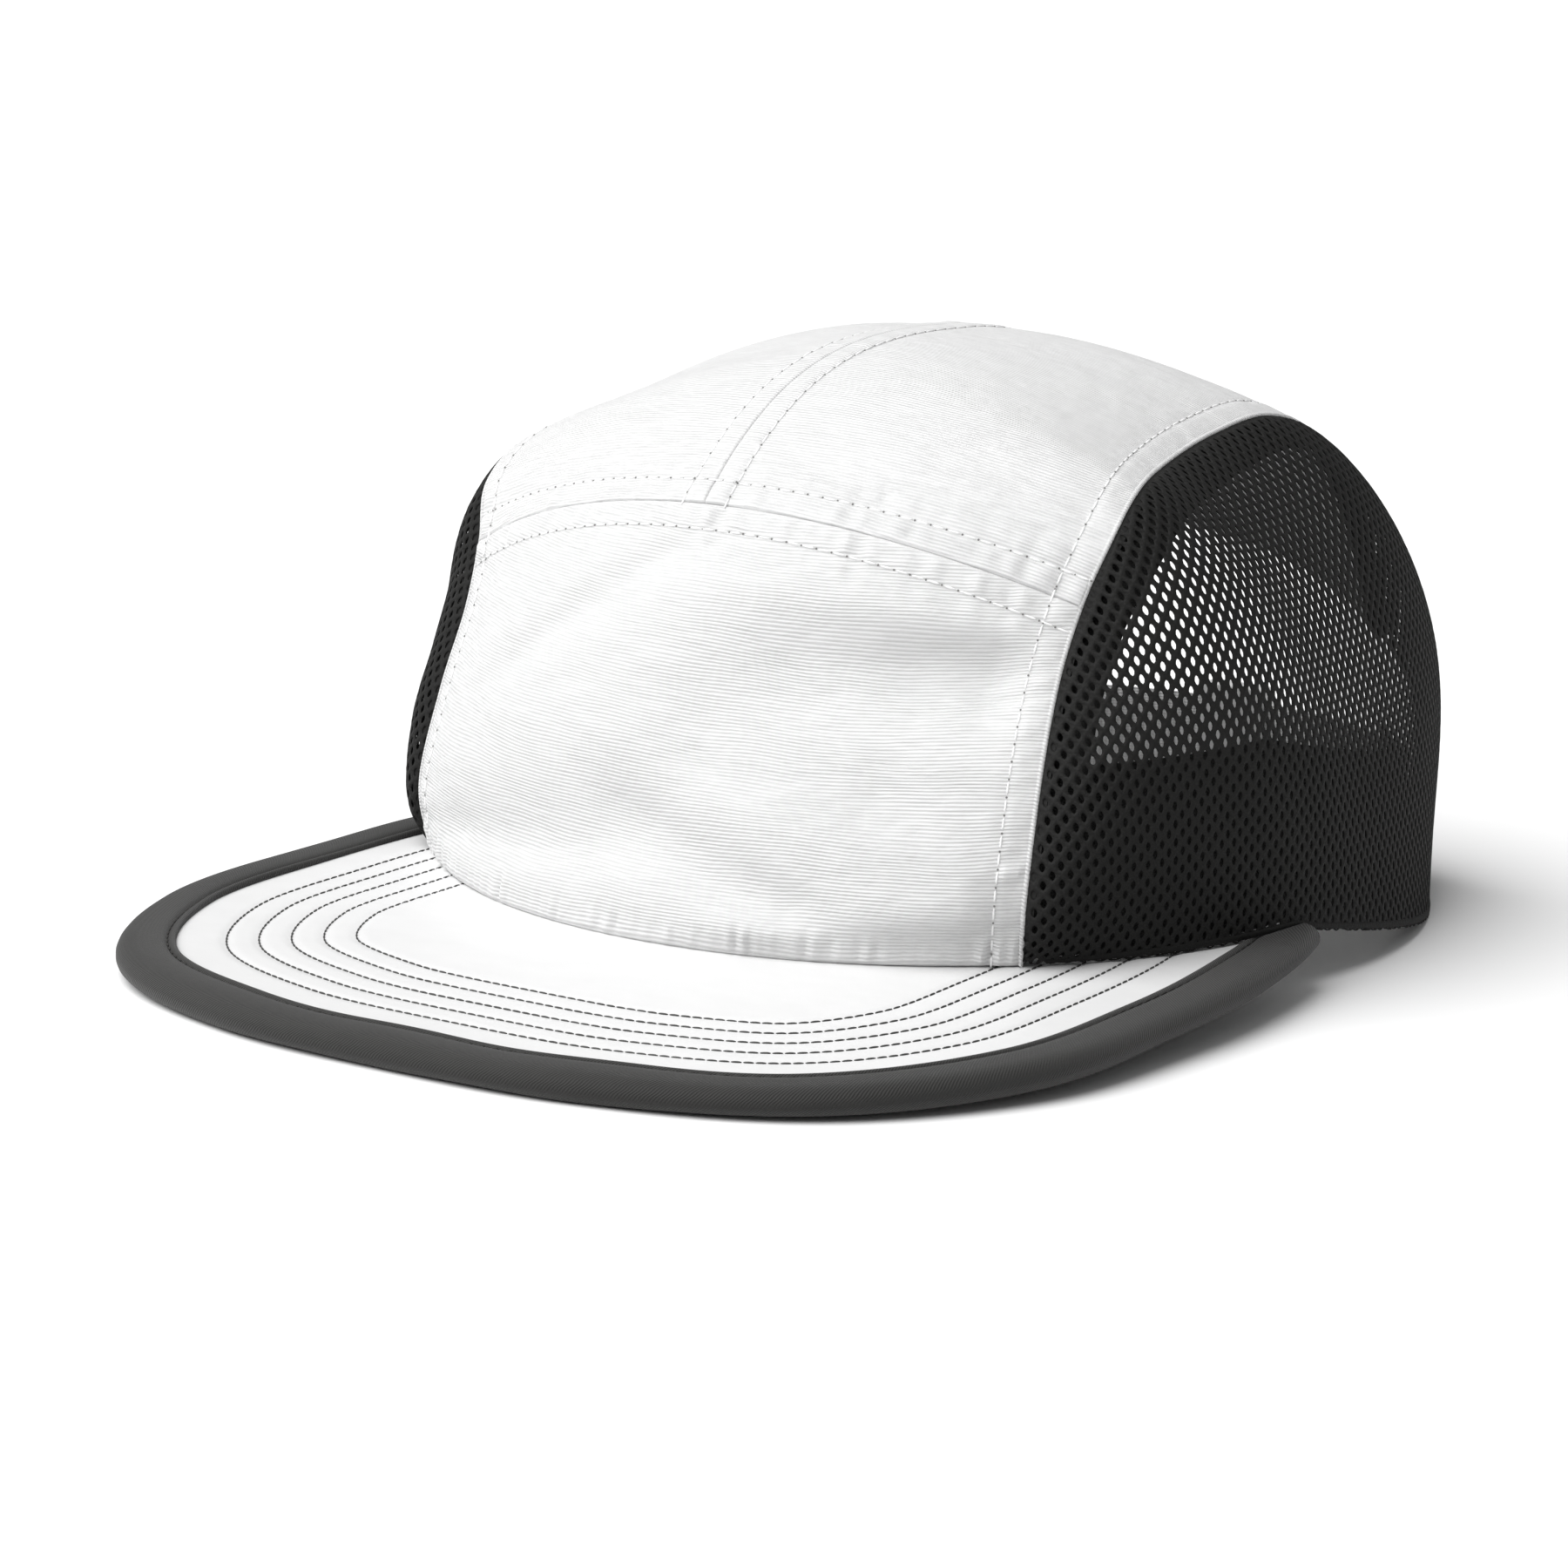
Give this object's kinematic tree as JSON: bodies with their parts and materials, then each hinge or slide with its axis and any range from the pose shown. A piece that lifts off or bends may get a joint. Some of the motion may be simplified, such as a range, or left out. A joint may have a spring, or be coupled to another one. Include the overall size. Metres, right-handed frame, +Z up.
{
  "type": "five panel cap",
  "caption": "Five panel cap with a white front and top, mesh sides, a flat bound peak, an inner sweatband and an adjusting strap across the back opening.",
  "frame": {"origin": "middle of the base of the cap's box, on the surface the cap rests on", "axes": "+Z up, the peak points to -Y, +X is the wearer's left"},
  "size_m": [0.1893, 0.2633, 0.1038],
  "materials": {
    "white_nylon": "fine crosswise rib, soft sheen",
    "black_net": "matt net of staggered oval holes",
    "dark_band_cloth": "matt",
    "white_peak_cloth": "smooth, faint weave",
    "charcoal_twill": "fine twill",
    "pale_webbing": "ribbed webbing",
    "pale_plastic": "satin"
  },
  "bodies": {
    "root": {"front_panel": "white_nylon", "top_panel_left": "white_nylon", "top_panel_right": "white_nylon", "side_panel_left": "black_net", "side_panel_right": "black_net", "seam_tape_left": "dark_band_cloth", "seam_tape_right": "dark_band_cloth", "sweatband": "dark_band_cloth", "peak": "white_peak_cloth", "peak_binding": "charcoal_twill", "back_strap": "pale_webbing", "strap_slide": "pale_plastic"}
  },
  "joints": []
}
